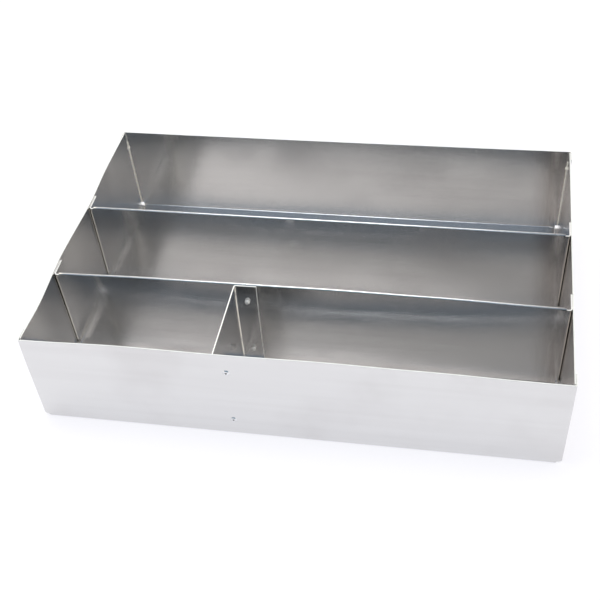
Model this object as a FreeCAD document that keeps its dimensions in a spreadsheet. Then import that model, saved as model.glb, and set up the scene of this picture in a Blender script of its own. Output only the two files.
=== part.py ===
import FreeCAD, Part
import os
import Sketcher

# A baguette tray of folded aluminium sheet. One blank makes the floor, the four walls and
# the corner tabs. Two long dividers and one short cross divider make four compartments, and
# blind rivets hold every divider. Millimetres, +Z up, origin under the middle of the floor,
# +X along the length, and -Y towards the front, where the short cross divider stands.

doc = FreeCAD.newDocument("baguette_tray")

DRIVING_SIZES = [
    ("tray_length", 600, "outside length, over the corner tabs"),
    ("tray_width", 400, "outside width, front wall to back wall"),
    ("tray_height", 125, "height from the underside to the rim"),
    ("sheet", 1.5, "thickness of every sheet"),
    ("bend_inner", 1.5, "inside radius of every bend"),
    ("tab_depth", 18, "how far a corner tab reaches along the end wall"),
    ("lap_gap", 0.2, "play between a corner tab and the end wall behind it"),
    ("corner_gap", 2, "gap between the end wall's upright edge and the long wall"),
    ("relief_margin", 1, "room left beside a bend where another edge comes near it"),
    ("corner_relief", 4.5, "height of the open notch under each corner tab"),
    ("weld_lap", 1.5, "how far a corner weld reaches onto the end wall"),
    ("weld_stop", 14, "how far below the rim a corner weld ends"),
    ("front_room", 110, "clear width of the front compartments"),
    ("middle_room", 122.5, "clear width of the middle compartment"),
    ("left_room", 216.4, "clear length of the front left compartment"),
    ("hem_drop", 1.5, "rim down to the hemmed top of a long divider"),
    ("thin_step", 0.2, "from the rounding of the hem down to the unhemmed top near its ends"),
    ("hem_depth", 11, "height of the folded hem"),
    ("hem_gap", 0.2, "gap left inside the closed hem"),
    ("hem_stop", 6, "end wall to the end of the hem"),
    ("end_flange", 26, "width of a long divider's end flange"),
    ("foot_flange", 14, "width of the flange that lies on the floor"),
    ("cross_drop", 3, "rim down to the top of the cross divider"),
    ("cross_flange", 26.4, "width of the cross divider's two flanges"),
    ("cross_rivet_line", 14.9, "outer face of the cross divider to its rivets"),
    ("rivet_edge", 24.5, "rivet height above the underside, and below the rim"),
    ("shank_radius", 2, "rivet shank, which fills its hole"),
    ("head_radius", 4, "rivet head"),
    ("head_height", 1.2, "height of the domed rivet head"),
    ("bulb_radius", 3.1, "blind end of a set rivet"),
    ("bulb_length", 3.2, "length of the blind end"),
    ("bulb_round", 1.1, "rounding of the blind end"),
    ("stem_radius", 1.1, "mandrel stem, and the bore that it stays in"),
    ("stem_recess", 0.6, "broken stem end below the top of the dome"),
    ("stem_head_radius", 1.9, "mandrel head"),
    ("stem_head_length", 1.3, "length of the mandrel head outside the blind end"),
    ("stem_head_round", 0.6, "rounding of the mandrel head"),
]

sheet = doc.addObject("Spreadsheet::Sheet", "dim")
for row, (alias, size, meaning) in enumerate(DRIVING_SIZES, 1):
    sheet.set(f"A{row}", meaning)
    sheet.set(f"B{row}", str(size))
    sheet.setAlias(f"B{row}", alias)
doc.recompute()

# Places worked out from the driving sizes, as formulas that every feature shares.
BEND_OUTER = "(dim.bend_inner + dim.sheet)"
END_OUTER = "(dim.tray_length / 2 - dim.sheet - dim.lap_gap)"
END_INNER = f"({END_OUTER} - dim.sheet)"
FLAT_END = f"({END_OUTER} - {BEND_OUTER} - dim.relief_margin)"
WALL_OUTER = "(dim.tray_width / 2)"
WALL_INNER = "(dim.tray_width / 2 - dim.sheet)"
FRONT_FACE = f"(dim.front_room - {WALL_INNER})"
REAR_FACE = f"({FRONT_FACE} + dim.sheet + dim.middle_room)"
CROSS_FACE = f"(dim.left_room - {END_INNER})"
LOW_RIVET = "dim.rivet_edge"
HIGH_RIVET = "(dim.tray_height - dim.rivet_edge)"
GRIP = "(2 * dim.sheet)"
DOME_RADIUS = "((dim.head_radius^2 + dim.head_height^2) / (2 * dim.head_height))"
NEAR = 1e-4


def value(formula):
    """The number that a formula on the sheet gives."""
    return float(sheet.evalExpression(str(formula)))


def new_body(label):
    """An empty body that carries its node's name."""
    body = doc.addObject("PartDesign::Body", label)
    body.Label = label
    return body


def place(body, x, y, z, turn=FreeCAD.Rotation()):
    """Stand a body where three formulas say, turned by a fixed rotation."""
    body.Placement = FreeCAD.Placement(FreeCAD.Vector(value(x), value(y), value(z)), turn)
    for axis, formula in zip("xyz", (x, y, z)):
        body.setExpression(f".Placement.Base.{axis}", formula)


def new_sketch(body, name, plane, height="0"):
    """A sketch on one of the body's own origin planes, raised along that plane's normal."""
    sketch = body.newObject("Sketcher::SketchObject", name)
    origin_plane = next(f for f in body.Origin.OriginFeatures if f.Role == plane)
    sketch.AttachmentSupport = [(origin_plane, "")]
    sketch.MapMode = "FlatFace"
    sketch.setExpression(".AttachmentOffset.Base.z", height)
    return sketch


def hold_point(sketch, curve, end, across, up):
    """Tie one point of a sketch to two formulas, measured from the sketch's origin."""
    for kind, formula in (("DistanceX", across), ("DistanceY", up)):
        size = value(formula)
        number = sketch.addConstraint(Sketcher.Constraint(kind, -1, 1, curve, end, size))
        sketch.setExpression(f"Constraints[{number}]", formula)


def add_outline(sketch, corners):
    """A closed outline of straight lines through corners that are pairs of formulas."""
    first = sketch.GeometryCount
    count = len(corners)
    spots = [FreeCAD.Vector(value(across), value(up), 0) for across, up in corners]
    for number, spot in enumerate(spots):
        sketch.addGeometry(Part.LineSegment(spot, spots[(number + 1) % count]), False)
    for number, (across, up) in enumerate(corners):
        after = first + (number + 1) % count
        sketch.addConstraint(Sketcher.Constraint("Coincident", first + number, 2, after, 1))
        hold_point(sketch, first + number, 1, across, up)


def add_circle(sketch, across, up, radius):
    """A circle whose centre and radius are formulas."""
    middle = FreeCAD.Vector(value(across), value(up), 0)
    upright = FreeCAD.Vector(0, 0, 1)
    number = sketch.addGeometry(Part.Circle(middle, upright, value(radius)), False)
    hold_point(sketch, number, 3, across, up)
    size = sketch.addConstraint(Sketcher.Constraint("Radius", number, value(radius)))
    sketch.setExpression(f"Constraints[{size}]", radius)


def pad(body, name, sketch, length, side="Symmetric"):
    """Thicken a sketch along its normal, to both sides or to one."""
    feature = body.newObject("PartDesign::Pad", name)
    feature.Profile = sketch
    feature.SideType = side
    feature.setExpression("Length", length)
    doc.recompute()
    return feature


def bend(body, name, radius, axis, **spots):
    """Round the edges along an axis that lie at the given distances from the origin."""
    solid = body.Tip
    doc.recompute()
    wanted = {other: abs(value(formula)) for other, formula in spots.items()}
    names = []
    for number, edge in enumerate(solid.Shape.Edges, 1):
        start = edge.Vertexes[0].Point
        end = edge.Vertexes[-1].Point
        level = all(abs(getattr(start, other) - getattr(end, other)) < NEAR for other in wanted)
        there = all(abs(abs(getattr(start, other)) - far) < NEAR for other, far in wanted.items())
        if level and there and abs(getattr(start, axis) - getattr(end, axis)) > NEAR:
            names.append(f"Edge{number}")
    if not names:
        raise RuntimeError(f"{body.Label}: no edge for {name}")
    feature = body.newObject("PartDesign::Fillet", name)
    feature.Base = (solid, names)
    feature.setExpression("Radius", radius)
    doc.recompute()


def drill(body, name, plane, centres, height="0", depth=None):
    """Rivet holes through the sheets on both sides of a plane, or only as deep as given."""
    solid = body.Tip
    sketch = new_sketch(body, name + "_sketch", plane, height)
    for across, up in centres:
        add_circle(sketch, across, up, "dim.shank_radius")
    feature = body.newObject("PartDesign::Pocket", name)
    feature.Profile = sketch
    if depth:
        feature.setExpression("Length", depth)
    else:
        feature.SideType = "Symmetric"
        feature.Type = "ThroughAll"
    doc.recompute()
    if feature.Shape.Volume > solid.Shape.Volume - NEAR:
        raise RuntimeError(f"{body.Label}: {name} cuts nothing")


def make_tray_body():
    """The folded tray: floor, long walls with corner tabs, and end walls inside the tabs."""
    body = new_body("tray_body")

    section = new_sketch(body, "long_wall_section", "YZ_Plane")
    add_outline(section, [
        (f"-{WALL_OUTER}", "0"), (WALL_OUTER, "0"),
        (WALL_OUTER, "dim.tray_height"), (WALL_INNER, "dim.tray_height"),
        (WALL_INNER, "dim.sheet"), (f"-{WALL_INNER}", "dim.sheet"),
        (f"-{WALL_INNER}", "dim.tray_height"), (f"-{WALL_OUTER}", "dim.tray_height"),
    ])
    pad(body, "floor_and_long_walls", section, f"2 * {FLAT_END}")
    bend(body, "long_bends_outside", BEND_OUTER, "x", y=WALL_OUTER, z="0")
    bend(body, "long_bends_inside", "dim.bend_inner", "x", y=WALL_INNER, z="dim.sheet")

    plan = new_sketch(body, "corner_plan", "XY_Plane", "dim.corner_relief")
    tab_end = "(dim.tray_width / 2 - dim.tab_depth)"
    for along in (-1, 1):
        for across in (-1, 1):
            add_outline(plan, [(f"{along} * {x}", f"{across} * {y}") for x, y in [
                (FLAT_END, WALL_OUTER), ("dim.tray_length / 2", WALL_OUTER),
                ("dim.tray_length / 2", tab_end), ("(dim.tray_length / 2 - dim.sheet)", tab_end),
                ("(dim.tray_length / 2 - dim.sheet)", WALL_INNER), (FLAT_END, WALL_INNER),
            ]])
    pad(body, "corner_tabs", plan, "dim.tray_height - dim.corner_relief", "One side")
    half = "dim.tray_length / 2"
    bend(body, "corner_bends_outside", BEND_OUTER, "z", x=half, y=WALL_OUTER)
    bend(body, "corner_bends_inside", "dim.bend_inner", "z", x=f"{half} - dim.sheet", y=WALL_INNER)

    ends = new_sketch(body, "end_wall_section", "XZ_Plane")
    for along in (-1, 1):
        add_outline(ends, [(f"{along} * {x}", z) for x, z in [
            (FLAT_END, "0"), (END_OUTER, "0"),
            (END_OUTER, "dim.tray_height"), (END_INNER, "dim.tray_height"),
            (END_INNER, "dim.sheet"), (FLAT_END, "dim.sheet"),
        ]])
    pad(body, "end_walls", ends, f"2 * ({WALL_INNER} - dim.corner_gap)")
    bend(body, "end_bends_outside", BEND_OUTER, "y", x=END_OUTER, z="0")
    bend(body, "end_bends_inside", "dim.bend_inner", "y", x=END_INNER, z="dim.sheet")

    levels = (LOW_RIVET, HIGH_RIVET)
    lines = (f"({FRONT_FACE} + dim.end_flange / 2)", f"({REAR_FACE} + dim.end_flange / 2)")
    drill(body, "end_wall_holes", "YZ_Plane", [(y, z) for y in lines for z in levels])
    cross_line = f"{CROSS_FACE} + dim.cross_rivet_line"
    drill(body, "front_wall_holes", "XZ_Plane", [(cross_line, z) for z in levels],
          WALL_OUTER, "2 * dim.sheet")
    return body


def make_long_divider(label, face, meets_cross_divider):
    """A divider from end wall to end wall, in a frame on the floor at its web's front face."""
    body = new_body(label)
    foot = f"({BEND_OUTER} + dim.relief_margin)"
    hem_top = "(dim.tray_height - dim.hem_drop - dim.sheet)"
    thin_top = f"({hem_top} - dim.sheet - dim.thin_step)"
    hem_low = f"({hem_top} - dim.hem_depth)"
    hem_back = "(2 * dim.sheet + dim.hem_gap)"
    fold = "(dim.sheet + dim.hem_gap)"

    plan = new_sketch(body, "channel_plan", "XY_Plane", foot)
    add_outline(plan, [
        (f"-{END_INNER}", "0"), (END_INNER, "0"),
        (END_INNER, "dim.end_flange"), (f"({END_INNER} - dim.sheet)", "dim.end_flange"),
        (f"({END_INNER} - dim.sheet)", "dim.sheet"), (f"-({END_INNER} - dim.sheet)", "dim.sheet"),
        (f"-({END_INNER} - dim.sheet)", "dim.end_flange"), (f"-{END_INNER}", "dim.end_flange"),
    ])
    pad(body, "web_and_end_flanges", plan, f"{thin_top} - {foot}", "One side")
    bend(body, "flange_bends_outside", BEND_OUTER, "z", x=END_INNER, y="0")
    bend(body, "flange_bends_inside", "dim.bend_inner", "z", x=f"{END_INNER} - dim.sheet", y="dim.sheet")

    toe = new_sketch(body, "foot_section", "YZ_Plane")
    add_outline(toe, [
        ("dim.sheet", "0"), ("dim.sheet", foot), ("0", foot), ("0", "dim.sheet"),
        ("dim.sheet - dim.foot_flange", "dim.sheet"), ("dim.sheet - dim.foot_flange", "0"),
    ])
    pad(body, "foot_flange", toe, f"2 * ({END_INNER} - {foot})")
    bend(body, "foot_bend_outside", BEND_OUTER, "x", y="dim.sheet", z="0")
    bend(body, "foot_bend_inside", "dim.bend_inner", "x", y="0", z="dim.sheet")

    hem = new_sketch(body, "hem_section", "YZ_Plane")
    add_outline(hem, [
        ("0", hem_low), ("dim.sheet", hem_low), ("dim.sheet", f"{hem_top} - dim.sheet"),
        (fold, f"{hem_top} - dim.sheet"), (fold, hem_low), (hem_back, hem_low),
        (hem_back, hem_top), ("0", hem_top),
    ])
    pad(body, "hem", hem, f"2 * ({END_INNER} - dim.hem_stop)")
    bend(body, "hem_front_round", "dim.sheet", "x", y="0", z=hem_top)
    bend(body, "hem_back_round", "dim.sheet", "x", y=hem_back, z=hem_top)

    levels = [f"{z} - dim.sheet" for z in (LOW_RIVET, HIGH_RIVET)]
    drill(body, "end_flange_holes", "YZ_Plane", [("dim.end_flange / 2", z) for z in levels])
    if meets_cross_divider:
        cross_line = f"{CROSS_FACE} + dim.cross_rivet_line"
        drill(body, "web_holes", "XZ_Plane", [(cross_line, z) for z in levels])
    place(body, "0", face, "dim.sheet")
    return body


def make_cross_divider():
    """The channel between the front wall and the front divider, both flanges to the right."""
    body = new_body("cross_divider")
    foot = "(dim.sheet + dim.bend_inner + dim.relief_margin)"
    back = "dim.front_room"
    inner_back = "(dim.front_room - dim.sheet)"

    plan = new_sketch(body, "channel_plan", "XY_Plane", foot)
    add_outline(plan, [
        ("0", "0"), ("dim.cross_flange", "0"), ("dim.cross_flange", "dim.sheet"),
        ("dim.sheet", "dim.sheet"), ("dim.sheet", inner_back),
        ("dim.cross_flange", inner_back), ("dim.cross_flange", back), ("0", back),
    ])
    height = f"dim.tray_height - dim.cross_drop - dim.sheet - {foot}"
    pad(body, "web_and_flanges", plan, height, "One side")
    bend(body, "front_bend_outside", BEND_OUTER, "z", x="0", y="0")
    bend(body, "back_bend_outside", BEND_OUTER, "z", x="0", y=back)
    bend(body, "front_bend_inside", "dim.bend_inner", "z", x="dim.sheet", y="dim.sheet")
    bend(body, "back_bend_inside", "dim.bend_inner", "z", x="dim.sheet", y=inner_back)

    levels = [f"{z} - dim.sheet" for z in (LOW_RIVET, HIGH_RIVET)]
    drill(body, "flange_holes", "XZ_Plane", [("dim.cross_rivet_line", z) for z in levels])
    place(body, CROSS_FACE, f"-{WALL_INNER}", "dim.sheet")
    return body


def make_corner_weld(label, along, across, turn):
    """A fillet weld up one inside corner, its two legs on the long wall and the end wall."""
    body = new_body(label)
    leg = "(dim.corner_gap + dim.weld_lap)"
    crown = f"({leg} * 0.66)"
    section = new_sketch(body, "bead_section", "XY_Plane")
    add_outline(section, [("0", "0"), (leg, "0"), (crown, crown), ("0", leg)])
    foot = "(dim.sheet + dim.bend_inner + dim.relief_margin)"
    pad(body, "bead", section, f"dim.tray_height - dim.weld_stop - {foot}", "One side")
    bend(body, "bead_crown", "dim.weld_lap", "z", x=crown, y=crown)
    rotation = FreeCAD.Rotation(FreeCAD.Vector(0, 0, 1), turn)
    place(body, f"{along} * {END_INNER}", f"{across} * {WALL_INNER}", foot, rotation)
    return body


def add_round(body, kind, name, radius, length, low):
    """A round feature on the body's axis, from a height up: added metal or a bore."""
    feature = body.newObject(f"PartDesign::{kind}Cylinder", name)
    feature.setExpression("Radius", radius)
    feature.setExpression("Height", length)
    feature.setExpression(".Placement.Base.z", low)
    doc.recompute()
    return feature


def round_low_circle(body, name, rounding, radius):
    """Round the lowest circular edge of a given radius."""
    solid = body.Tip
    circles = []
    for number, edge in enumerate(solid.Shape.Edges, 1):
        round_edge = isinstance(edge.Curve, Part.Circle)
        if round_edge and abs(edge.Curve.Radius - value(radius)) < NEAR:
            circles.append((edge.Curve.Center.z, f"Edge{number}"))
    feature = body.newObject("PartDesign::Fillet", name)
    feature.Base = (solid, [min(circles)[1]])
    feature.setExpression("Radius", rounding)
    doc.recompute()


def make_rivet(label, x, y, z, head_way):
    """A set blind rivet, head up its own axis from the face that it clamps, and its mandrel."""
    turn = FreeCAD.Rotation(FreeCAD.Vector(0, 0, 1), FreeCAD.Vector(*head_way))
    bulb_end = f"({GRIP} + dim.bulb_length)"

    shell = new_body(label)
    add_round(shell, "Additive", "blind_end", "dim.bulb_radius", "dim.bulb_length", f"-{bulb_end}")
    round_low_circle(shell, "blind_end_round", "dim.bulb_round", "dim.bulb_radius")
    add_round(shell, "Additive", "shank", "dim.shank_radius", f"{GRIP} + dim.head_height / 2", f"-{GRIP}")
    dome = shell.newObject("PartDesign::AdditiveSphere", "domed_head")
    dome.setExpression("Radius", DOME_RADIUS)
    dome.setExpression("Angle1", f"asin(1 - dim.head_height / {DOME_RADIUS})")
    dome.setExpression(".Placement.Base.z", f"dim.head_height - {DOME_RADIUS}")
    add_round(shell, "Subtractive", "bore", "dim.stem_radius", f"{bulb_end} + 2 * dim.head_height",
              f"-{bulb_end}")
    place(shell, x, y, z, turn)

    core = new_body(label + "_mandrel")
    add_round(core, "Additive", "mandrel_head", "dim.stem_head_radius", "dim.stem_head_length",
              f"-({bulb_end} + dim.stem_head_length)")
    round_low_circle(core, "mandrel_head_round", "dim.stem_head_round", "dim.stem_head_radius")
    add_round(core, "Additive", "stem", "dim.stem_radius",
              f"{bulb_end} + dim.head_height - dim.stem_recess", f"-{bulb_end}")
    place(core, x, y, z, turn)
    return [shell, core]


def make_all_rivets():
    """Two rivets at each end of every divider, one low and one high."""
    rivets = []
    cross_line = f"{CROSS_FACE} + dim.cross_rivet_line"
    for level, z in (("lower", LOW_RIVET), ("upper", HIGH_RIVET)):
        rivets += make_rivet(f"front_wall_{level}_rivet", cross_line, f"-{WALL_OUTER}", z, (0, -1, 0))
        rivets += make_rivet(f"cross_joint_{level}_rivet", cross_line, f"{FRONT_FACE} + dim.sheet", z,
                             (0, 1, 0))
        for divider, face in (("front_divider", FRONT_FACE), ("rear_divider", REAR_FACE)):
            for side, way in (("left", -1), ("right", 1)):
                rivets += make_rivet(f"{divider}_{side}_{level}_rivet", f"{way} * {END_OUTER}",
                                     f"{face} + dim.end_flange / 2", z, (way, 0, 0))
    return rivets


parts = [
    make_tray_body(),
    make_long_divider("front_divider", FRONT_FACE, True),
    make_long_divider("rear_divider", REAR_FACE, False),
    make_cross_divider(),
    make_corner_weld("corner_weld_front_left", -1, -1, 0),
    make_corner_weld("corner_weld_front_right", 1, -1, 90),
    make_corner_weld("corner_weld_back_right", 1, 1, 180),
    make_corner_weld("corner_weld_back_left", -1, 1, 270),
]
parts += make_all_rivets()
doc.recompute()

for item in doc.Objects:
    if "Invalid" in item.State or "Error" in item.State:
        raise RuntimeError(f"{item.Label} is {item.State}")
for part in parts:
    if part.Shape.isNull() or not part.Shape.isValid() or len(part.Shape.Solids) != 1:
        raise RuntimeError(f"{part.Label} is not one valid solid")

os.makedirs("parts", exist_ok=True)
for part in parts:
    part.Shape.exportStep(f"parts/{part.Label}.step")
    box = part.Shape.BoundBox
    print(f"{part.Label}: {part.Shape.Volume:.1f} mm3, x {box.XMin:.2f} to {box.XMax:.2f}, "
          f"y {box.YMin:.2f} to {box.YMax:.2f}, z {box.ZMin:.2f} to {box.ZMax:.2f}")
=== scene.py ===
# %% [markdown]
# # A baguette tray in folded aluminium
# A bakery tray of this kind is sheet metal work: one blank is folded up into a floor, four walls
# and corner tabs, and the dividers are folded strips that are riveted in. This lesson rebuilds
# that look around a finished engineering model, called the frame, which gives every size and
# place. Sheets are drawn as thin middle surfaces and thickened, because that is how a sheet
# is made, and it gives every bend the same wall.

# %% Load the frame
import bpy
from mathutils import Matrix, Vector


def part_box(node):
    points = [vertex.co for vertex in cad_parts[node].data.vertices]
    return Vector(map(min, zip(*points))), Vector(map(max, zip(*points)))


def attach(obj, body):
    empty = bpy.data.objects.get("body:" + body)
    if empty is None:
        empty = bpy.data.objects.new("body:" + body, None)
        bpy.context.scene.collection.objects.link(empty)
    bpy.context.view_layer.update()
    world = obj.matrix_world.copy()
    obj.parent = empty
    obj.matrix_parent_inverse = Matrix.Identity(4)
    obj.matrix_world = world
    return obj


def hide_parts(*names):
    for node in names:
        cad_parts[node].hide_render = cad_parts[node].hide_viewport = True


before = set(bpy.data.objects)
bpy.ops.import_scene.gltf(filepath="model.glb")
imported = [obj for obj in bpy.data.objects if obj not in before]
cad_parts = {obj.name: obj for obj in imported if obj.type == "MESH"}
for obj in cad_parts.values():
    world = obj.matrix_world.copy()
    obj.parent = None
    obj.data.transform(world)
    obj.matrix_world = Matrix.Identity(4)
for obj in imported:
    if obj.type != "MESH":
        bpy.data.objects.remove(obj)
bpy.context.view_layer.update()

# %% Tools used all through
import math
import bmesh
import bpy
import numpy as np
from mathutils import Euler, Matrix, Vector, noise

scene = bpy.context.scene
MM = 0.001

# %% [markdown]
# ## Sizes
# The frame's boxes give the outside sizes and where each divider stands. What a box can't
# tell, such as the gauge of the sheet and the radius of a bend, is named here once, with the
# values of the engineering model.

# %% Sizes of the sheets
tray_low, tray_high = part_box("tray_body")
LENGTH = tray_high.x - tray_low.x
WIDTH = tray_high.y - tray_low.y
HEIGHT = tray_high.z
GAUGE = 1.5 * MM
MID = GAUGE / 2
BEND = 1.5 * MM + MID
LAP_GAP = 0.2 * MM
END_OUTER = LENGTH / 2 - GAUGE - LAP_GAP
END_INNER = END_OUTER - GAUGE
WALL_INNER = WIDTH / 2 - GAUGE
CORNER_GAP = 2 * MM
TAB_DEPTH = 18 * MM
RELIEF = 4.5 * MM
FLAT_END = END_OUTER - MID - BEND - 1.75 * MM
FOOT_CLEAR = 4 * MM
EDGE_ROW = 0.7 * MM
print(f"tray {LENGTH:.3f} x {WIDTH:.3f} x {HEIGHT:.3f} m")

# %% [markdown]
# ## How real sheet stands
# No large panel of thin sheet is flat. The front wall and the front divider bow towards the
# back, the left end wall goes in and out between its rivets, and every panel has shallow
# waves. At the floor the end walls and the back wall lean in a little, and the foot of the front
# wall stands out. Mirror-like metal shows this at once, since its reflections bend. All of it is
# written as one smooth push of space, which every sheet, rivet and weld follows, so pieces that
# touch still touch.

# %% The push of space
# How far each long panel's rim bows to the back, in millimetres, at places along the tray.
STATIONS = [-LENGTH / 2, -178 * MM, -71 * MM, 36 * MM, 142 * MM, LENGTH / 2]
FRONT_WALL_BOW = [0, 3.0, 2.4, 3.4, 2.3, 0]
FRONT_DIVIDER_BOW = [0, 2.9, 4.0, 4.7, 3.7, 0]
REAR_DIVIDER_BOW = [0, 0.4, 0.6, 0.7, 0.5, 0]
BACK_WALL_BOW = [0, -0.7, -1.0, -1.1, -0.8, 0]
BOWS = [FRONT_WALL_BOW, FRONT_DIVIDER_BOW, REAR_DIVIDER_BOW, BACK_WALL_BOW]
LINES = [-WIDTH / 2, -88.5 * MM, 36 * MM, WIDTH / 2]
BOW_POWER = 3.5

# How far the left end wall's rim goes to the right, in millimetres, at places across the tray.
LEFT_WALL_Y = [-WIDTH / 2, -145 * MM, -60 * MM, 45 * MM, 120 * MM, WIDTH / 2]
LEFT_WALL_PUSH = [0, 1.9, -1.5, 1.8, -0.6, 0]

# What the foot of each wall does, and the height and length of the shallow waves.
END_LEAN = 2.7 * MM
BACK_LEAN = 1.4 * MM
FRONT_FOOT = 1.9 * MM
WAVE = 0.2 * MM
WAVE_LENGTH = 160 * MM
FADE = 90 * MM
FLOOR_WAVE = 0.5 * MM


def smooth_between(value, places, heights):
    """A curve through the given heights with no corner at any of them."""
    place = np.clip(np.searchsorted(places, value) - 1, 0, len(places) - 2)
    places, heights = np.array(places), np.array(heights)
    share = np.clip((value - places[place]) / (places[place + 1] - places[place]), 0, 1)
    share = share * share * (3 - 2 * share)
    return heights[place] * (1 - share) + heights[place + 1] * share


def waves(points, seed, size):
    """Slow seeded noise, from -1 to 1, at a wave length of about the given size."""
    away = Vector((seed * 7.3, seed * 3.1, seed * 5.7))
    return np.array([noise.noise(Vector(p) / size + away) for p in points])


def ramp(value, start, end):
    """0 at the start, 1 at the end, and straight in between."""
    return np.clip((value - start) / (end - start), 0, 1)


def push(points):
    """Where points of the ideal tray lie on the real one."""
    points = np.array(points, float).reshape(-1, 3)
    x, y, z = points.T
    rise = np.clip(z / HEIGHT, 0, 1)
    bows = [smooth_between(x, STATIONS, row) for row in BOWS]
    bow = sum(bows[k] * np.interp(y, LINES, [float(k == j) for j in range(4)]) for k in range(4))
    in_out = smooth_between(y, LEFT_WALL_Y, LEFT_WALL_PUSH)
    from_ends = ramp(LENGTH / 2 - abs(x), 0, FADE)
    from_walls = ramp(WIDTH / 2 - abs(y), 0, FADE)
    pushed = points.copy()
    pushed[:, 1] += rise ** BOW_POWER * bow * MM
    pushed[:, 1] += WAVE * waves(points, 1, WAVE_LENGTH) * from_ends * np.sqrt(rise)
    pushed[:, 1] -= BACK_LEAN * (1 - rise) * ramp(y, 120 * MM, 200 * MM)
    pushed[:, 1] -= FRONT_FOOT * (1 - rise ** 5) * ramp(-y, 140 * MM, 200 * MM)
    pushed[:, 0] += rise * in_out * ramp(-x, 200 * MM, 300 * MM) ** 2 * MM
    pushed[:, 0] += WAVE * waves(points, 2, WAVE_LENGTH) * from_walls * np.sqrt(rise) * (1 - from_ends)
    pushed[:, 0] -= np.sign(x) * END_LEAN * (1 - rise) * ramp(abs(x), 200 * MM, 300 * MM)
    near_floor = ramp(30 * MM - z, 0, 30 * MM) * from_ends * from_walls
    pushed[:, 2] += FLOOR_WAVE * near_floor * (0.5 + 0.5 * waves(points, 3, 130 * MM))
    return pushed


print("rim of the front wall, in the middle:", (push([(0, -WIDTH / 2, HEIGHT)]) * 1000).round(1))

# %% [markdown]
# ## Folding a sheet
# A folded sheet is a flat path with rounded corners, carried along stations. The helpers lay
# quads between a path and its stations. Where two strips meet and have the same stations,
# merging their points makes them one surface. Each point also keeps its place on the flat blank
# as a UV, because rolling marks follow the blank round every bend.

# %% Paths and stations
SPACING = 9 * MM
BEND_STEPS = 6


def stations(*breaks):
    """Places from the first break to the last, about SPACING apart, with one at every break."""
    places = [breaks[0]]
    for start, end in zip(breaks, breaks[1:]):
        count = max(1, round(abs(end - start) / SPACING))
        places += list(np.linspace(start, end, count + 1)[1:])
    return places


def arc(centre, radius, start, end):
    """Points inside a bend, without its two ends. Angles are in degrees."""
    angles = np.radians(np.linspace(start, end, BEND_STEPS + 1)[1:-1])
    return [(centre[0] + radius * math.cos(a), centre[1] + radius * math.sin(a)) for a in angles]


def travelled(path):
    """How far along the path each of its points is."""
    steps = [math.dist(a, b) for a, b in zip(path, path[1:])]
    return np.concatenate([[0], np.cumsum(steps)])


# %% Drafts and finished objects
def show(name, data):
    """A new object in the scene, at the origin."""
    thing = bpy.data.objects.new(name, data)
    scene.collection.objects.link(thing)
    return thing


def evaluated(draft, name):
    """The plain mesh that a draft's modifiers make. The draft itself goes."""
    bpy.context.view_layer.update()
    graph = bpy.context.evaluated_depsgraph_get()
    mesh = bpy.data.meshes.new_from_object(draft.evaluated_get(graph))
    mesh.name = name
    bpy.data.objects.remove(draft)
    return mesh


# %% The sheet itself
EDGE_BREAK = 0.22 * MM


class Sheet:
    """The middle surface of one folded sheet, built strip by strip."""

    def __init__(self):
        self.points = []
        self.blank = []
        self.quads = []

    def strip(self, path, places, position, on_blank):
        """Quads between a path and its stations.

        position takes the path's p and q and a station, and on_blank takes how far along the
        path a point is, and its station.
        """
        first = len(self.points)
        for (p, q), far in zip(path, travelled(path)):
            for s in places:
                self.points.append(position(p, q, s))
                self.blank.append(on_blank(far, s))
        across = len(places)
        for i in range(len(path) - 1):
            for j in range(across - 1):
                a = first + i * across + j
                self.quads.append((a, a + 1, a + across + 1, a + across))

    def build(self, name, finish):
        """Merge, push, thicken and break the edges, and leave a plain mesh."""
        mesh = bpy.data.meshes.new(name)
        mesh.from_pydata([Vector(p) for p in push(self.points)], [], self.quads)
        layer = mesh.uv_layers.new(name="blank")
        for loop in mesh.loops:
            layer.data[loop.index].uv = self.blank[loop.vertex_index]
        shell = bmesh.new()
        shell.from_mesh(mesh)
        bmesh.ops.remove_doubles(shell, verts=shell.verts, dist=0.02 * MM)
        bmesh.ops.recalc_face_normals(shell, faces=shell.faces)
        shell.to_mesh(mesh)
        shell.free()
        mesh.materials.append(finish)
        mesh.materials.append(finish)
        draft = show(name + "_draft", mesh)
        thick = draft.modifiers.new("gauge", "SOLIDIFY")
        thick.thickness = GAUGE
        thick.offset = 0
        thick.use_even_offset = True
        thick.material_offset_rim = 1
        edge = draft.modifiers.new("sheared edge", "BEVEL")
        edge.width = EDGE_BREAK
        edge.segments = 2
        edge.limit_method = "ANGLE"
        edge.angle_limit = math.radians(50)
        return settle(draft, name, finish)


def settle(draft, name, finish):
    """Turn a draft with modifiers into a finished plain piece, with its cut edges marked."""
    mesh = evaluated(draft, name)
    sheared = mesh.attributes.new("sheared", "FLOAT", "FACE")
    for face in mesh.polygons:
        sheared.data[face.index].value = float(face.material_index)
        face.material_index = 0
    mesh.materials.clear()
    mesh.materials.append(finish)
    mesh.shade_smooth()
    return show(name, mesh)


def open_edges(piece):
    """The number of edges without exactly two faces, which a closed piece hasn't, and the volume."""
    check = bmesh.new()
    check.from_mesh(piece.data)
    count = sum(not edge.is_manifold for edge in check.edges)
    volume = check.calc_volume(signed=True)
    check.free()
    return count, volume


def keep(piece, slot, *nodes):
    """Let a finished piece stand for its nodes, on the tray's one body."""
    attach(piece, "root")
    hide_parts(*nodes)
    count, volume = open_edges(piece)
    faces = len(piece.data.polygons)
    print(f"{piece.name}: {faces} faces, {count} open edges, {volume * 1e6:.1f} cm3")


# %% [markdown]
# ## Writing materials as sums
# A node tree is easier to read as a sum than as a wiring diagram. A small class wraps a
# socket, so that `1 - mask * 0.3` adds the Math nodes by itself. Every other node comes from
# one method, which takes the node's type, its settings, and its values or links.

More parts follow.
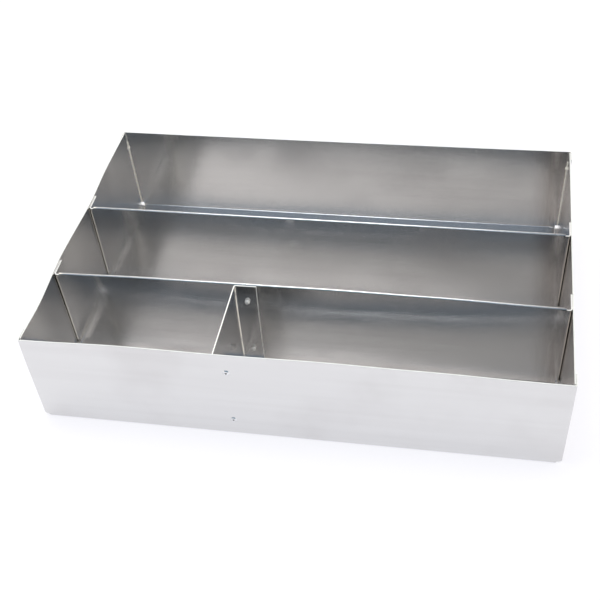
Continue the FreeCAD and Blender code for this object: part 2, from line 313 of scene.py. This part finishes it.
# %% A socket that can be added and multiplied
class Wire:
    """One output of a node tree, with arithmetic."""

    def __init__(self, tree, socket):
        self.tree = tree
        self.socket = socket

    def node(self, kind, out=0, inputs=None, **settings):
        """A new node in the same tree; out picks the output by number or name."""
        made = self.tree.nodes.new(kind)
        for key, setting in settings.items():
            setattr(made, key, setting)
        for key, given in (inputs or {}).items():
            if isinstance(given, Wire):
                self.tree.links.new(given.socket, made.inputs[key])
            else:
                made.inputs[key].default_value = given
        return Wire(self.tree, made.outputs[out])

    def math(self, operation, other=0.0, turned=False):
        """A Math node on this value and another one."""
        values = {0: other, 1: self} if turned else {0: self, 1: other}
        return self.node("ShaderNodeMath", inputs=values, operation=operation)

    def __add__(self, other):
        return self.math("ADD", other)

    def __radd__(self, other):
        return self.math("ADD", other, True)

    def __sub__(self, other):
        return self.math("SUBTRACT", other)

    def __rsub__(self, other):
        return self.math("SUBTRACT", other, True)

    def __mul__(self, other):
        return self.math("MULTIPLY", other)

    def __rmul__(self, other):
        return self.math("MULTIPLY", other, True)

    def between(self, low, high):
        """0 below low, 1 above high, and smooth from one to the other."""
        values = {"Value": self, "From Min": low, "From Max": high}
        return self.node("ShaderNodeMapRange", inputs=values, interpolation_type="SMOOTHSTEP")

    def tint(self, first, second):
        """A colour that goes from the first to the second as this value goes from 0 to 1."""
        values = {0: self, 6: first, 7: second}
        return self.node("ShaderNodeMix", out=2, inputs=values, data_type="RGBA")

    def split(self):
        """The X, Y and Z of a vector."""
        parts = self.node("ShaderNodeSeparateXYZ", inputs={"Vector": self})
        return [Wire(self.tree, output) for output in parts.socket.node.outputs]

    def stretched(self, *scale):
        """The same vector with each axis scaled."""
        return self.node("ShaderNodeMapping", inputs={"Vector": self, "Scale": scale})

    def mottle(self, scale, detail):
        """Noise from 0 to 1 over a vector."""
        return self.node("ShaderNodeTexNoise", inputs={"Vector": self, "Scale": scale, "Detail": detail})


def new_material(name):
    """An empty node material, its shader, and a wire to start from."""
    material = bpy.data.materials.new(name)
    material.use_nodes = True
    tree = material.node_tree
    shader = tree.nodes["Principled BSDF"]
    place = Wire(tree, tree.nodes.new("ShaderNodeTexCoord").outputs["Object"])
    return material, shader, place


def feed(shader, socket, wire):
    """Link a wire to one of the shader's sockets."""
    wire.tree.links.new(wire.socket, shader.inputs[socket])


# %% [markdown]
# ## Mill-finish sheet
# Rolled aluminium leaves the mill bright but not polished. It mirrors what is near and
# blurs what is far, with fine marks along the rolling direction, and cloudy patches and small
# specks where it has dulled. The right end is painted darker, with upright brown streaks in it:
# painted shade for the dim, grazing reflection of that end, with the streaks as stains. The marks
# follow the blank's own UV, and the clouds, specks and streaks lie in the object's space, at the
# size that they have on a real tray. A sheared edge is torn metal: paler and rougher than the face.

# %% Mill-finish sheet
# Painted shade for the right end's dim, grazing reflection; its brown streaks reach this colour fully.
END_SHADE_AND_STREAK_COLOUR = (0.57, 0.552, 0.542, 1)


def mill_finish(name, colour, smudge, cut_colour, seed):
    """Bright rolled sheet: marks along the blank, clouds, specks, and painted shade with brown streaks at
    the right end.
    """
    material, shader, place = new_material(name)
    shift = place.node("ShaderNodeMapping", inputs={"Vector": place, "Location": (seed, seed * 2, 0)})
    specks = shift.mottle(70.0, 3.0)
    blank = place.node("ShaderNodeUVMap", uv_map="blank")
    marks = blank.stretched(5.0, 520.0, 1.0).mottle(1.0, 3.0)
    bands = blank.stretched(2.0, 90.0, 1.0).mottle(1.0, 2.0)
    dull = shift.mottle(9.0, 4.0).between(0.45, 0.72)
    face_colour = (dull * 0.7 + bands.between(0.35, 0.75) * 0.3).tint(colour, smudge)
    x, y = place.split()[:2]
    # Painted shade: the right end is tinted darker for its dim, grazing reflection, most of all in the
    # brown streaks.
    streaks = place.stretched(260.0, 60.0, 7.0).mottle(1.0, 2.0).between(0.35, 0.65)
    right_end = x.between(255 * MM, 292 * MM) * y.between(-194 * MM, -188 * MM)
    end_shade_and_streaks = right_end * (0.55 + streaks * 0.45)
    face_colour = end_shade_and_streaks.tint(face_colour, END_SHADE_AND_STREAK_COLOUR)
    cut = place.node("ShaderNodeAttribute", out="Fac", attribute_name="sheared")
    torn = place.mottle(260.0, 2.0)
    feed(shader, "Base Color", cut.tint(face_colour, cut_colour))
    feed(shader, "Metallic", 1 - cut * 0.75)
    smooth_sheet = 0.115 + dull * 0.06 + marks * 0.05 + specks.between(0.6, 0.8) * 0.03
    feed(shader, "Roughness", smooth_sheet * (1 - cut) + cut * (0.3 + torn.between(0.35, 0.65) * 0.3))
    height = marks * 0.7 + bands * 0.3
    bump = place.node("ShaderNodeBump", inputs={"Height": height, "Strength": 0.03, "Distance": 0.0004})
    feed(shader, "Normal", bump)
    return material


tray_finish = mill_finish(
    "mill_finish_tray", colour=(0.715, 0.715, 0.715, 1), smudge=(0.655, 0.65, 0.65, 1),
    cut_colour=(0.80, 0.82, 0.815, 1), seed=0.0)
divider_finish = mill_finish(
    "mill_finish_dividers", colour=(0.70, 0.698, 0.695, 1), smudge=(0.64, 0.632, 0.628, 1),
    cut_colour=(0.93, 0.93, 0.92, 1), seed=3.0)
print("sheet finishes", tray_finish.name, divider_finish.name)

# %% [markdown]
# ## The folded tray
# One blank makes the floor and all four walls. Three kinds of strip make it up: the floor with
# its two long walls, the end walls, and the corners, which carry the long walls round to short
# tabs outside the end walls. Under each tab the blank is notched, so the corner stays open there.
# An end wall has a row of its own beside each cut edge, and the floor doesn't. So those two
# strips abut without sharing points, and the mesh has a fine seam across the floor at each end.

# %% The folded tray
def make_tray():
    """Floor, walls and corner tabs as one sheet."""
    sheet = Sheet()
    turn_y = WIDTH / 2 - MID - BEND
    low = MID + BEND
    heights = stations(low, RELIEF, HEIGHT - EDGE_ROW, HEIGHT)
    end_y = WALL_INNER - CORNER_GAP
    floor = [(y, MID) for y in stations(-turn_y, -end_y, end_y, turn_y)]
    front = [(-turn_y - BEND, z) for z in reversed(heights)]
    back = [(turn_y + BEND, z) for z in heights]
    section = front + arc((-turn_y, low), BEND, 180, 270) + floor
    section += arc((turn_y, low), BEND, 270, 360) + back
    half = travelled(section)[-1] / 2
    along = stations(-FLAT_END, FLAT_END)
    sheet.strip(section, along, lambda y, z, x: (x, y, z), lambda far, x: (x, far - half))

    turn_x = END_OUTER - MID - BEND
    for side in (-1, 1):
        end = [(FLAT_END, MID), (turn_x, MID)] + arc((turn_x, low), BEND, 270, 360)
        end += [(turn_x + BEND, z) for z in stations(low, HEIGHT - EDGE_ROW, HEIGHT)]
        sheet.strip(end, stations(-end_y, -end_y + EDGE_ROW, end_y - EDGE_ROW, end_y),
                    lambda x, z, y: (side * x, y, z), lambda far, y: (side * (FLAT_END + far), y))
        for face in (-1, 1):
            corner_x = LENGTH / 2 - MID - BEND
            plan = [(FLAT_END, turn_y + BEND), (corner_x, turn_y + BEND)]
            plan += arc((corner_x, turn_y), BEND, 90, 0)
            tab_end = WIDTH / 2 - TAB_DEPTH
            plan += [(corner_x + BEND, y) for y in stations(turn_y, tab_end + EDGE_ROW, tab_end)]
            sheet.strip(plan, [z for z in heights if z > RELIEF - MM * 0.01],
                        lambda x, y, z: (side * x, face * y, z),
                        lambda far, z: (side * (FLAT_END + far), face * (half - HEIGHT + z)))
    return sheet.build("tray_body_sheet", tray_finish)


keep(make_tray(), "tray_sheet", "tray_body")

# %% [markdown]
# ## The long dividers
# Each long divider stands on a narrow foot flange that points forwards. Its top is folded
# right back on itself into a closed hem, which is safe to touch and stiff. The hem stops
# short of the ends, where the plain web turns back into an end flange for the rivets.

# %% The long dividers
END_FLANGE = 26 * MM
FOOT_FLANGE = 14 * MM
HEM_DEPTH = 11 * MM
HEM_STOP = 6 * MM
HEM_BEND = (GAUGE + 0.2 * MM) / 2
THIN_STEP = GAUGE + 0.2 * MM


def make_long_divider(node):
    """Foot, web, hem and end flanges of one divider, as one sheet."""
    low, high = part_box(node)
    face = high.y - END_FLANGE
    web_y = face + MID
    floor_z = low.z
    thin_top = high.z - THIN_STEP
    turn_x = END_INNER - MID - BEND
    foot_x = END_INNER - FOOT_CLEAR
    hem_x = END_INNER - HEM_STOP
    along = stations(-turn_x, -foot_x, -hem_x, hem_x, foot_x, turn_x)
    near = 0.001 * MM
    sheet = Sheet()

    foot_y = face + GAUGE - FOOT_FLANGE
    foot = [(y, floor_z + MID) for y in stations(foot_y, foot_y + EDGE_ROW, web_y - BEND)]
    foot += arc((web_y - BEND, floor_z + MID + BEND), BEND, 270, 360)
    foot += [(web_y, floor_z + MID + BEND), (web_y, floor_z + FOOT_CLEAR)]
    foot_long = travelled(foot)[-1]
    sheet.strip(foot, [x for x in along if abs(x) < foot_x + near],
                lambda y, z, x: (x, y, z), lambda far, x: (x, far))
    web = [(web_y, z) for z in stations(floor_z + FOOT_CLEAR, thin_top - EDGE_ROW, thin_top)]
    sheet.strip(web, along, lambda y, z, x: (x, y, z), lambda far, x: (x, foot_long + far))
    hem_z = high.z - MID - HEM_BEND
    hem = [(web_y, thin_top), (web_y, hem_z)] + arc((web_y + HEM_BEND, hem_z), HEM_BEND, 180, 0)
    leg_end = high.z - HEM_DEPTH
    hem += [(web_y + 2 * HEM_BEND, z) for z in (hem_z, leg_end + EDGE_ROW, leg_end)]
    top_long = foot_long + thin_top - floor_z - FOOT_CLEAR
    sheet.strip(hem, [x for x in along if abs(x) < hem_x + near],
                lambda y, z, x: (x, y, z), lambda far, x: (x, top_long + far))
    for side in (-1, 1):
        plan = [(turn_x, web_y)] + arc((turn_x, web_y + BEND), BEND, 270, 360)
        end_y = face + END_FLANGE
        plan += [(turn_x + BEND, y) for y in stations(web_y + BEND, end_y - EDGE_ROW, end_y)]
        sheet.strip(plan, stations(floor_z + FOOT_CLEAR, thin_top - EDGE_ROW, thin_top),
                    lambda x, y, z: (side * x, y, z), lambda far, z: (side * (turn_x + far), z + foot_long))
    return sheet.build(node + "_sheet", divider_finish)


for node in ("front_divider", "rear_divider"):
    keep(make_long_divider(node), "divider_sheet", node)

# %% [markdown]
# ## The cross divider
# The short divider is a plain channel. Its web closes the front compartment off, and its two
# flanges, both to the right, take the rivets: one pair through the front wall, and one pair
# through the front divider.

# %% The cross divider
def make_cross_divider(node):
    """Front flange, web and back flange, all one height."""
    low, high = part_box(node)
    web_x = low.x + MID
    heights = stations(low.z, high.z - EDGE_ROW, high.z)
    flange = stations(web_x + BEND, high.x - EDGE_ROW, high.x)
    front_y, back_y = low.y + MID, high.y - MID
    plan = [(x, front_y) for x in reversed(flange)]
    plan += arc((web_x + BEND, front_y + BEND), BEND, 270, 180)
    plan += [(web_x, y) for y in stations(front_y + BEND, back_y - BEND)]
    plan += arc((web_x + BEND, back_y - BEND), BEND, 180, 90)
    plan += [(x, back_y) for x in flange]
    sheet = Sheet()
    sheet.strip(plan, heights, lambda x, y, z: (x, y, z), lambda far, z: (far, z))
    return sheet.build(node + "_sheet", divider_finish)


keep(make_cross_divider("cross_divider"), "divider_sheet", "cross_divider")

# %% [markdown]
# ## A lathe and a bead, as Geometry Nodes
# Rivets and weld beads repeat, so each is one small node tree with named inputs. The lathe
# takes a profile, given as points of radius and height, and turns it about the Z axis with a
# little seeded denting. The bead takes a path and sweeps a ragged, rippled rod along it.

# %% Helpers for node trees
def new_tree(name, inputs):
    """A geometry tree with the given inputs; returns the tree, its inputs and its output."""
    tree = bpy.data.node_groups.new(name, "GeometryNodeTree")
    tree.interface.new_socket("Geometry", in_out="INPUT", socket_type="NodeSocketGeometry")
    for title, kind in inputs.items():
        tree.interface.new_socket(title, in_out="INPUT", socket_type="NodeSocket" + kind)
    tree.interface.new_socket("Geometry", in_out="OUTPUT", socket_type="NodeSocketGeometry")
    given = tree.nodes.new("NodeGroupInput")
    result = tree.nodes.new("NodeGroupOutput")
    wires = {socket.name: Wire(tree, socket) for socket in given.outputs if socket.name}
    return tree, wires, result


def end_tree(result, geometry, finish):
    """Close a tree with smooth shading, its material and real instances."""
    smooth = geometry.node("GeometryNodeSetShadeSmooth", inputs={"Geometry": geometry})
    solid = smooth.node("GeometryNodeRealizeInstances", inputs={"Geometry": smooth})
    dressed = solid.node("GeometryNodeSetMaterial", inputs={"Geometry": solid, "Material": finish})
    dressed.tree.links.new(dressed.socket, result.inputs[0])


def grow(name, points, tree, finish, **values):
    """Run a tree on a chain of points and return the finished plain mesh."""
    chain = bpy.data.meshes.new(name + "_chain")
    chain.from_pydata([Vector(p) for p in points], [(i, i + 1) for i in range(len(points) - 1)], [])
    draft = show(name + "_draft", chain)
    modifier = draft.modifiers.new(tree.name, "NODES")
    modifier.node_group = tree
    titles = {socket.name: socket.identifier for socket in tree.interface.items_tree
              if socket.in_out == "INPUT"}
    modifier[titles["Finish"]] = finish
    for title, value in values.items():
        modifier[titles[title.replace("_", " ").capitalize()]] = value
    return evaluated(draft, name)


# %% The lathe
def make_lathe():
    """Turn a closed profile about Z: x is the radius and z the height."""
    tree, given, result = new_tree("lathe", {"Turns": "Int", "Dent": "Float", "Seed": "Float",
                                             "Finish": "Material"})
    profile = given["Geometry"]
    rows = profile.node("GeometryNodeAttributeDomainSize", out="Point Count",
                        inputs={"Geometry": profile}, component="MESH")
    grid = rows.node("GeometryNodeMeshGrid", out="Mesh",
                     inputs={"Vertices X": given["Turns"] + 1, "Vertices Y": rows})
    index = rows.node("GeometryNodeInputIndex")
    column = index.math("DIVIDE", rows).math("FLOOR")
    row = index - column * rows
    places = rows.node("GeometryNodeInputPosition")
    at_row = rows.node("GeometryNodeSampleIndex", data_type="FLOAT_VECTOR",
                       inputs={"Geometry": profile, "Value": places, "Index": row})
    angle = column.math("DIVIDE", given["Turns"]) * (2 * math.pi)
    turned = rows.node("ShaderNodeVectorRotate", rotation_type="Z_AXIS",
                       inputs={"Vector": at_row, "Angle": angle})
    rough = rows.node("ShaderNodeTexNoise", out="Color", noise_dimensions="4D",
                      inputs={"Vector": turned, "W": given["Seed"], "Scale": 450.0, "Detail": 1.0})
    centred = rows.node("ShaderNodeVectorMath", operation="SUBTRACT",
                        inputs={0: rough, 1: (0.5, 0.5, 0.5)})
    dents = rows.node("ShaderNodeVectorMath", operation="SCALE",
                      inputs={0: centred, "Scale": given["Dent"]})
    dented = rows.node("ShaderNodeVectorMath", operation="ADD", inputs={0: turned, 1: dents})
    shaped = rows.node("GeometryNodeSetPosition", inputs={"Geometry": grid, "Position": dented})
    closed = rows.node("GeometryNodeMergeByDistance", inputs={"Geometry": shaped, "Distance": 2e-6})
    outside = rows.node("GeometryNodeFlipFaces", inputs={"Mesh": closed})
    end_tree(result, outside, given["Finish"])
    return tree


# %% The bead
def make_bead():
    """A rod along a path, with ripples and lumps, a thin start, a pause and a tapered end."""
    tree, given, result = new_tree("weld_bead", {"Thickness": "Float", "Ripple": "Float",
                                                 "Lead": "Float", "Seed": "Float",
                                                 "Finish": "Material"})
    path = given["Geometry"].node("GeometryNodeMeshToCurve", inputs={"Mesh": given["Geometry"]})
    fine = path.node("GeometryNodeResampleCurve", inputs={"Curve": path, "Count": 240})
    along = path.node("GeometryNodeSplineParameter", out="Length")
    waves_on = (along.math("DIVIDE", given["Ripple"]) * math.pi).math("SINE").math("ABSOLUTE")
    own_line = path.node("ShaderNodeCombineXYZ", inputs={0: along, 1: given["Seed"]})
    uneven = path.node("ShaderNodeTexNoise", noise_dimensions="2D",
                       inputs={"Vector": own_line, "Scale": 260.0, "Detail": 3.0})
    leads = along.math("DIVIDE", given["Lead"])
    started = leads.math("MINIMUM", 1.0)
    pause = 1 - (leads - 1.25).math("ABSOLUTE").between(0.0, 0.35)
    width = given["Thickness"] * (0.3 + started * 0.2 + waves_on * 0.2 + uneven * 0.6 + pause * 1.1)
    to_end = 1 - path.node("GeometryNodeSplineParameter", out="Factor")
    width = width * (0.3 + to_end.between(0.0, 0.06) * 0.7)
    ring = path.node("GeometryNodeCurvePrimitiveCircle", inputs={"Resolution": 14, "Radius": 1.0})
    rod = path.node("GeometryNodeCurveToMesh", inputs={"Curve": fine, "Profile Curve": ring,
                                                       "Scale": width, "Fill Caps": True})
    place = path.node("GeometryNodeInputPosition")
    lumps = path.node("ShaderNodeTexNoise", noise_dimensions="4D",
                      inputs={"Vector": place, "W": given["Seed"], "Scale": 700.0, "Detail": 2.0})
    normal = path.node("GeometryNodeInputNormal")
    shift = path.node("ShaderNodeVectorMath", operation="SCALE",
                      inputs={0: normal, "Scale": (lumps - 0.5) * given["Thickness"] * 0.9})
    lumpy = path.node("GeometryNodeSetPosition", inputs={"Geometry": rod, "Offset": shift})
    end_tree(result, lumpy, given["Finish"])
    return tree


lathe = make_lathe()
bead = make_bead()
print("node trees:", lathe.name, bead.name)


# %% [markdown]
# ## Finishes of the small parts
# Rivet bodies are soft bright aluminium, their broken mandrels are steel, and a weld
# bead keeps a pale, matt skin. The mandrels of the rivets set from outside are painted
# near-black: painted shade in the pit each one sits in. The two rivets of the cross joint,
# which show their blind ends inside the tray, are a lit copy, paler than the ones that are set
# from outside: their bodies are painted whiter, a painted highlight, and their mandrels are pale plated
# steel.

# %% Finishes of the small parts
def small_finish(name, first, second, roughness, spread, scale, metal=1.0):
    """A metal with fine mottling in colour and roughness."""
    material, shader, place = new_material(name)
    shader.inputs["Metallic"].default_value = metal
    mottle = place.mottle(scale, 3.0)
    share = mottle.between(0.35, 0.65)
    feed(shader, "Base Color", share.tint(first, second))
    feed(shader, "Roughness", roughness + share * spread)
    bump = place.node("ShaderNodeBump", inputs={"Height": mottle, "Strength": 0.15, "Distance": 0.0003})
    feed(shader, "Normal", bump)
    return material


outside_finishes_painted_pit_shade = (
    small_finish("rivet_aluminium", (0.82, 0.83, 0.84, 1), (0.66, 0.66, 0.67, 1),
                 roughness=0.06, spread=0.07, scale=500.0),
    # Near-black mandrel: painted shade of the pit it sits in.
    small_finish("mandrel_steel", (0.13, 0.12, 0.12, 1), (0.07, 0.06, 0.06, 1),
                 roughness=0.3, spread=0.2, scale=600.0, metal=0.6))
blind_finishes_painted_light = (
    # Whiter, part-metal body: a painted highlight on the blind ends.
    small_finish("blind_aluminium_painted_highlight", (0.97, 0.97, 0.97, 1), (0.84, 0.84, 0.84, 1),
                 roughness=0.2, spread=0.1, scale=500.0, metal=0.35),
    small_finish("blind_steel", (0.85, 0.85, 0.85, 1), (0.55, 0.55, 0.55, 1),
                 roughness=0.25, spread=0.15, scale=600.0, metal=0.5))
weld_finish = small_finish("weld_skin", (0.97, 0.95, 0.90, 1), (0.84, 0.81, 0.76, 1),
                           roughness=0.42, spread=0.2, scale=380.0, metal=0.25)
print("finishes of the small parts:", outside_finishes_painted_pit_shade[0].name, outside_finishes_painted_pit_shade[1].name,
      blind_finishes_painted_light[0].name, blind_finishes_painted_light[1].name, weld_finish.name)

# %% [markdown]
# ## Pop rivets
# A pop rivet is two parts: the body, with a low dome outside and a bulged blind end inside, and
# the mandrel, which pulled that bulge up and snapped off a little below the dome. The heads
# face out of the tray, or back on the pair behind the cross divider. Each rivet is
# seated on the pushed sheet, square to it.

# %% Profiles of a pop rivet
# All in millimetres, with the height measured from the face under the head.
HEAD_RADIUS = 4.0
HEAD_HEIGHT = 1.2
SHANK_RADIUS = 2.0
BORE_RADIUS = 1.12
STEM_RECESS = 0.6
BULB_RADIUS = 3.1
BULB_LENGTH = 3.2
BULB_NECK = 1.9
BULB_SWING = 62
STEM_HEAD_RADIUS = 1.9
STEM_FIT = BORE_RADIUS - 0.02
DOME_RADII = [1.45, 2.0, 2.55, 3.05, 3.45, 3.75]
DOME_HEIGHTS = [HEAD_HEIGHT, 1.18, 1.08, 0.84, 0.51, 0.2]


def dome(radius):
    """Height of the dome above its seat: a flat crown and a steeper shoulder."""
    return float(np.interp(radius, DOME_RADII, DOME_HEIGHTS))


def body_profile(grip):
    """Closed outline of a rivet body, from the bore over the dome to the blind end and back."""
    points = [(BORE_RADIUS, dome(1.5) - 0.35), (1.2, dome(1.5) - 0.08)]
    points += [(r, dome(r)) for r in np.linspace(DOME_RADII[0], DOME_RADII[-1], 9)]
    points += [(3.93, 0.09), (HEAD_RADIUS, 0.05), (3.96, 0.01), (3.85, 0), (SHANK_RADIUS, 0)]
    points += [(SHANK_RADIUS, -grip)]
    middle = -grip - BULB_LENGTH / 2
    swing = math.radians(BULB_SWING)
    for bulge in np.linspace(swing, -swing, 12):
        share = (math.cos(bulge) - math.cos(swing)) / (1 - math.cos(swing))
        height = middle + BULB_LENGTH / 2 * math.sin(bulge) / math.sin(swing)
        points.append((BULB_NECK + (BULB_RADIUS - BULB_NECK) * share, height))
    points += [(1.35, -grip - BULB_LENGTH), (BORE_RADIUS, -grip - BULB_LENGTH + 0.15)]
    points.append(points[0])
    return [(r * MM, 0, h * MM) for r, h in points]


def stem_profile(top, bottom):
    """Outline of a mandrel: the snapped end, the stem, and the round head."""
    points = [(0, top - 1.6), (0.35, top - 1.4), (0.75, top - 0.5), (0.98, top)]
    points += [(STEM_FIT, top - 0.05), (STEM_FIT, bottom + 1.3)]
    points += [(1.7, bottom + 1.28), (1.88, bottom + 1.12), (STEM_HEAD_RADIUS, bottom + 0.7)]
    points += [(1.78, bottom + 0.35), (1.45, bottom + 0.1), (1.0, bottom), (0, bottom)]
    return [(r * MM, 0, h * MM) for r, h in points]


# %% Seat the rivets
def seat(centre, outward):
    """The frame of a rivet on the pushed sheet: its seat, with Z along the head."""
    outward = Vector(outward)
    up = Vector((0, 0, 1))
    side = up.cross(outward)
    reach = 3 * MM
    spots = push([centre, centre + side * reach, centre - side * reach,
                  centre + up * reach, centre - up * reach])
    middle, right, left, top, bottom = (Vector(p) for p in spots)
    z_axis = (right - left).cross(top - bottom).normalized()
    x_axis = (right - left).normalized()
    y_axis = z_axis.cross(x_axis)
    turn = Matrix((x_axis, y_axis, z_axis)).transposed()
    return Matrix.Translation(middle) @ turn.to_4x4()


def place_rivet(node, outward, finishes, seed):
    """The body and the mandrel of one rivet, each in place of its own node."""
    outward = Vector(outward)
    low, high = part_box(node)
    axis = max(range(3), key=lambda k: abs(outward[k]))
    depth = (high - low)[axis]
    centre = (low + high) / 2
    head_top = centre + outward * depth / 2
    where = seat(head_top - outward * HEAD_HEIGHT * MM, outward)
    grip = depth / MM - HEAD_HEIGHT - BULB_LENGTH
    stem_low, stem_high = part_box(node + "_mandrel")
    stem_depth = (stem_high - stem_low)[axis] / MM
    stem_top = HEAD_HEIGHT - STEM_RECESS
    parts = [(node, body_profile(grip), finishes[0], "rivet_aluminium", 0.12 * MM),
             (node + "_mandrel", stem_profile(stem_top, stem_top - stem_depth), finishes[1],
              "mandrel_steel", 0.05 * MM)]
    for name, profile, finish, slot, dent in parts:
        mesh = grow(name + "_shape", profile, lathe, finish, turns=28, dent=dent, seed=seed)
        mesh.transform(where @ Matrix.Rotation(seed * 1.7, 4, "Z"))
        keep(show(name + "_shape", mesh), slot, name)


RIVETS = {"front_wall": (0, -1, 0), "cross_joint": (0, 1, 0),
          "front_divider_left": (-1, 0, 0), "front_divider_right": (1, 0, 0),
          "rear_divider_left": (-1, 0, 0), "rear_divider_right": (1, 0, 0)}
for number, (joint, outward) in enumerate(RIVETS.items()):
    for level, height in enumerate(("lower", "upper")):
        # The blind ends take the lit copy with the painted highlight, and the other rivets take the copy
        # with painted shade in the mandrel pit.
        finishes = blind_finishes_painted_light if joint == "cross_joint" else outside_finishes_painted_pit_shade
        place_rivet(f"{joint}_{height}_rivet", outward, finishes, 1.0 + number * 2 + level)

# %% [markdown]
# ## Weld beads
# The long walls are joined to the end walls by a short-legged weld in each inside corner.
# A bead is never even: it was laid by hand from the top down, and a lump shows where the torch
# paused before it ran on.

# %% Weld beads
BEAD_THICKNESS = 1.15 * MM
BEAD_RIPPLE = 1.6 * MM
BEAD_LEAD = 8 * MM
CORNERS = {"corner_weld_front_left": (-1, -1), "corner_weld_front_right": (1, -1),
           "corner_weld_back_right": (1, 1), "corner_weld_back_left": (-1, 1)}
for number, (node, (side, face)) in enumerate(CORNERS.items()):
    low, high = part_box(node)
    x = side * (END_INNER + 0.1 * MM)
    y = face * (WALL_INNER - 0.9 * MM)
    chain = push([(x, y, z) for z in np.linspace(high.z - MM, low.z + MM, 30)])
    mesh = grow(node + "_bead", chain, bead, weld_finish, thickness=BEAD_THICKNESS,
                ripple=BEAD_RIPPLE, lead=BEAD_LEAD, seed=5.0 + number)
    keep(show(node + "_bead", mesh), "weld_bead", node)

# %% [markdown]
# ## Studio
# A plain pale floor and a bright surround make polished metal read as metal: its front
# mirrors the floor, and its insides mirror what stands far behind it. The surround is darker
# on the side that the viewer stands on, as a room is, which gives the insides their depth, and
# bright at both sides, which draws a light line down every upright bend.

# %% Floor and surround
FLOOR_RADIUS = 60.0
FLOOR_LIGHT = (0.98, 0.975, 1.03, 1)
# Painted contact shadow: the dark that the floor's own light fades to at the tray's foot and under it.
PAINTED_CONTACT_SHADOW = (0.05, 0.05, 0.06, 1)
FAR_SHEET = (1.80, 1.74, 1.71, 1)
FAR_CEILING = (0.86, 0.84, 0.835, 1)
DARK_STAND = (0.10, 0.10, 0.105, 1)
NEAR_LOW = (0.20, 0.31, 0.37, 1)
NEAR_HIGH = (0.33, 0.40, 0.49, 1)
SIDE_LIGHT = (1.9, 1.78, 1.58, 1)
HORIZON = (1.0, 1.0, 1.02, 1)
BLACK = (0.0, 0.0, 0.0, 1)


def make_floor():
    """A wide white disc with a light of its own, which fades out at the tray's foot and under it: a painted
    contact shadow.
    """
    shape = bmesh.new()
    bmesh.ops.create_circle(shape, cap_ends=True, segments=96, radius=FLOOR_RADIUS)
    mesh = bpy.data.meshes.new("studio_floor")
    shape.to_mesh(mesh)
    shape.free()
    material, shader, place = new_material("pale_floor")
    shader.inputs["Base Color"].default_value = (0.27, 0.27, 0.27, 1)
    shader.inputs["Roughness"].default_value = 0.9
    shader.inputs["Specular IOR Level"].default_value = 0.0
    x, y = place.split()[:2]
    # Painted contact shadow: the floor's light fades to dark from 0.3 mm outside the tray's footprint to 9
    # mm inside it.
    past_x = x.math("ABSOLUTE") - (LENGTH / 2 - END_LEAN)
    past_y = (y + (FRONT_FOOT + BACK_LEAN) / 2).math("ABSOLUTE")
    past_y = past_y - (WIDTH / 2 + (FRONT_FOOT - BACK_LEAN) / 2)
    clear_of_painted_shadow = past_x.math("MAXIMUM", past_y).between(-9 * MM, 0.3 * MM)
    feed(shader, "Emission Color", clear_of_painted_shadow.tint(PAINTED_CONTACT_SHADOW, FLOOR_LIGHT))
    shader.inputs["Emission Strength"].default_value = 0.775
    mesh.materials.append(material)
    show("studio_floor", mesh)


def make_surround():
    """A bright sheet behind the tray, bright sides, and a dim room on the viewer's side."""
    world = bpy.data.worlds.new("studio")
    scene.world = world
    world.use_nodes = True
    tree = world.node_tree
    way = Wire(tree, tree.nodes.new("ShaderNodeTexCoord").outputs["Generated"])
    x, y, z = way.split()
    near_side = (0.25 - y).between(0.0, 0.55)
    above_sheet = z.between(0.585, 0.662)
    dark_stand = x.between(0.23, 0.32) * (1 - x.between(0.345, 0.39))
    far_side = above_sheet.tint(FAR_SHEET, FAR_CEILING)
    far_side = (dark_stand * 0.85).tint(far_side, DARK_STAND)
    dimmer = x.between(-0.30, 0.02) * 0.24
    far_side = dimmer.tint(far_side, BLACK)
    own_side = z.between(0.3, 0.5).tint(NEAR_LOW, NEAR_HIGH)
    colour = near_side.tint(far_side, own_side)
    to_sides = x.math("ABSOLUTE").between(0.50, 0.62) * y.between(-0.62, -0.48)
    colour = to_sides.tint(colour, SIDE_LIGHT)
    colour = z.between(0.03, 0.08).tint(HORIZON, colour)
    background = tree.nodes["Background"]
    tree.links.new(colour.socket, background.inputs["Color"])
    background.inputs["Strength"].default_value = 1.0


make_floor()
make_surround()
print("floor radius", FLOOR_RADIUS, "m, world", scene.world.name)


# %% Lamps
def softbox(name, place, aim, size, power, colour):
    """A square soft lamp that looks at a point."""
    lamp = bpy.data.lights.new(name, "AREA")
    lamp.shape = "SQUARE"
    lamp.size = size
    lamp.energy = power
    lamp.color = colour
    thing = show(name, lamp)
    thing.location = place
    thing.rotation_euler = (Vector(aim) - Vector(place)).to_track_quat("-Z", "Y").to_euler()


softbox("top_softbox", place=(-0.35, 0.25, 2.6), aim=(0, 0, 0), size=1.1, power=22,
        colour=(0.97, 0.99, 1.0))

# %% [markdown]
# ## Camera
# The viewer stands in front, a little to the right, looks down at about 44 degrees from 1.3
# metres away, and holds the camera slightly tilted.

# %% Camera
CAMERA_PLACE = Vector((0.1959, -0.9065, 0.9115))
CAMERA_AZIMUTH = math.radians(13.69)
CAMERA_DOWN = math.radians(43.63)
CAMERA_ROLL = math.radians(-5.44)
LENS = 61.35
SENSOR = 36


def make_camera():
    """The scene's camera, placed and turned."""
    lens = bpy.data.cameras.new("camera")
    lens.lens = LENS
    lens.sensor_width = SENSOR
    lens.clip_start = 0.01
    camera = show("camera", lens)
    aim = Euler((math.pi / 2 - CAMERA_DOWN, 0, CAMERA_AZIMUTH)).to_matrix()
    roll = Matrix.Rotation(CAMERA_ROLL, 3, "Z")
    camera.matrix_world = Matrix.Translation(CAMERA_PLACE) @ (aim @ roll).to_4x4()
    scene.camera = camera


make_camera()
print("camera", scene.camera.name, "lens", LENS, "mm")
scene.view_settings.view_transform = "Standard"
